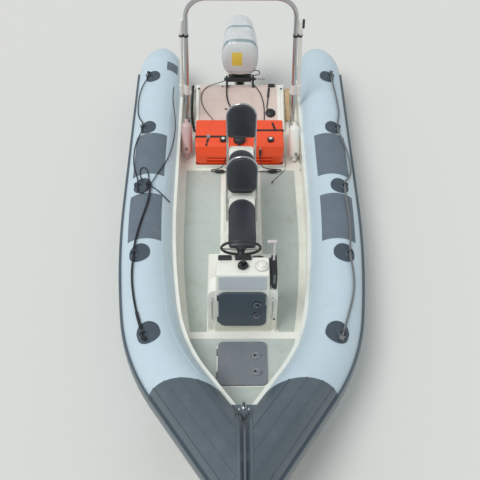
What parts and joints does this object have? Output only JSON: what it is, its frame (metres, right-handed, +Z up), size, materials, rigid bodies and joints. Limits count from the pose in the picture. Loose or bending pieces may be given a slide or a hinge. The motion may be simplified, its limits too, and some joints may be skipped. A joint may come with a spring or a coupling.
{
  "type": "rigid inflatable boat",
  "caption": "Open rigid inflatable boat with a deep-V hull, inflated side tubes, helm console, saddle seats, arch, fuel tanks and a tilting outboard engine.",
  "frame": {"origin": "on the waterline, on the centre plane, amidships", "axes": "+X to port, +Y aft towards the engine, +Z up; the water surface is z = 0"},
  "size_m": [2.2038, 5.6853, 2.382],
  "materials": {
    "black_metal": "painted, satin",
    "black_plastic": "moulded plastic",
    "black_rope": "braided rope",
    "cowl_grey": "painted, glossy",
    "deck_hatch": "moulded plastic, satin",
    "engine_grey": "painted, satin",
    "fender_pink": "weathered plastic",
    "gelcoat": "gelcoat, glossy",
    "hatch_plastic": "moulded plastic, satin",
    "helm_black": "moulded plastic, satin",
    "nonslip": "non-slip deck paint, matt",
    "pale_rope": "braided rope",
    "rubber": "moulded rubber, satin",
    "steel": "polished stainless",
    "tank_red": "moulded plastic, glossy",
    "tube_fabric": "coated tube fabric, satin",
    "vinyl": "upholstery vinyl, satin",
    "wear_fabric": "ribbed wear patch, matt",
    "webbing": "woven strap",
    "white_plastic": "glossy"
  },
  "bodies": {
    "boat": {"arch": "steel", "arch_line": "black_rope", "back_frame_front": "steel", "back_frame_rear": "steel", "back_pad_front": "vinyl", "back_pad_rear": "vinyl", "bow_cap_port": "rubber", "bow_cap_starboard": "rubber", "bow_nose": "rubber", "bow_post": "steel", "clamp_bracket": "black_metal", "compass": "white_plastic", "console": "gelcoat", "deck_liner": "gelcoat", "deck_panels": "nonslip", "fender_port": "white_plastic", "fender_starboard": "fender_pink", "fuel_tank_port": "tank_red", "fuel_tank_starboard": "tank_red", "gauges": "helm_black", "grab_rails": "steel", "helm_column": "helm_black", "hull": "gelcoat", "instrument_hoods": "helm_black", "instrument_mount": "helm_black", "lifeline_port": "pale_rope", "lifeline_starboard": "black_rope", "line_patches_port": "rubber", "line_patches_starboard": "rubber", "mooring_rope": "black_rope", "pole_clamps": "white_plastic", "rope_knots_port": "pale_rope", "rope_knots_starboard": "black_rope", "rub_strake_port": "rubber", "rub_strake_starboard": "rubber", "seat_pad_front": "vinyl", "seat_pad_rear": "vinyl", "seat_pod_front": "gelcoat", "seat_pod_rear": "gelcoat", "side_poles": "white_plastic", "tank_cap_port": "black_plastic", "tank_cap_starboard": "black_plastic", "tank_straps": "webbing", "tank_tray": "gelcoat", "throttle_control": "helm_black", "transom": "gelcoat", "tube_port": "tube_fabric", "tube_starboard": "tube_fabric", "wear_patches_port": "wear_fabric", "wear_patches_starboard": "wear_fabric"},
    "console_hatch": {"console_hatch": "hatch_plastic"},
    "bow_hatch": {"bow_hatch": "deck_hatch"},
    "steering_wheel": {"steering_wheel": "helm_black"},
    "swivel": {"swivel_bracket": "black_metal"},
    "engine": {"engine_leg": "engine_grey", "gearcase": "engine_grey", "cowling": "cowl_grey", "powerhead": "black_metal"},
    "propeller": {"propeller": "black_metal"}
  },
  "joints": [
    {"name": "outboard_tilt", "type": "hinge", "parent": "boat", "child": "swivel", "pos_m": [0, 2.262, 0.425], "axis": [1, 0, 0], "range_deg": [0, 70]},
    {"name": "outboard_steer", "type": "hinge", "parent": "swivel", "child": "engine", "pos_m": [0, 2.345, 0], "axis": [0, 0, 1], "range_deg": [-30, 30]},
    {"name": "propeller_spin", "type": "hinge", "parent": "engine", "child": "propeller", "pos_m": [0, 2.69, -0.475], "axis": [0, 1, 0], "continuous": true},
    {"name": "wheel_turn", "type": "hinge", "parent": "boat", "child": "steering_wheel", "pos_m": [-0.013, -0.59, 0.93], "axis": [0, 0.9272, 0.3746], "range_deg": [-630, 630]},
    {"name": "console_hatch_hinge", "type": "hinge", "parent": "boat", "child": "console_hatch", "pos_m": [-0.201, -0.8923, 0.5245], "axis": [0, 0, -1], "range_deg": [0, 110]},
    {"name": "bow_hatch_hinge", "type": "hinge", "parent": "boat", "child": "bow_hatch", "pos_m": [-0.206, -1.263, 0.2873], "axis": [0, -1, 0], "range_deg": [0, 90]}
  ],
  "couplings": [
    {"joint": "wheel_turn", "follows": "outboard_steer", "ratio": 21}
  ]
}
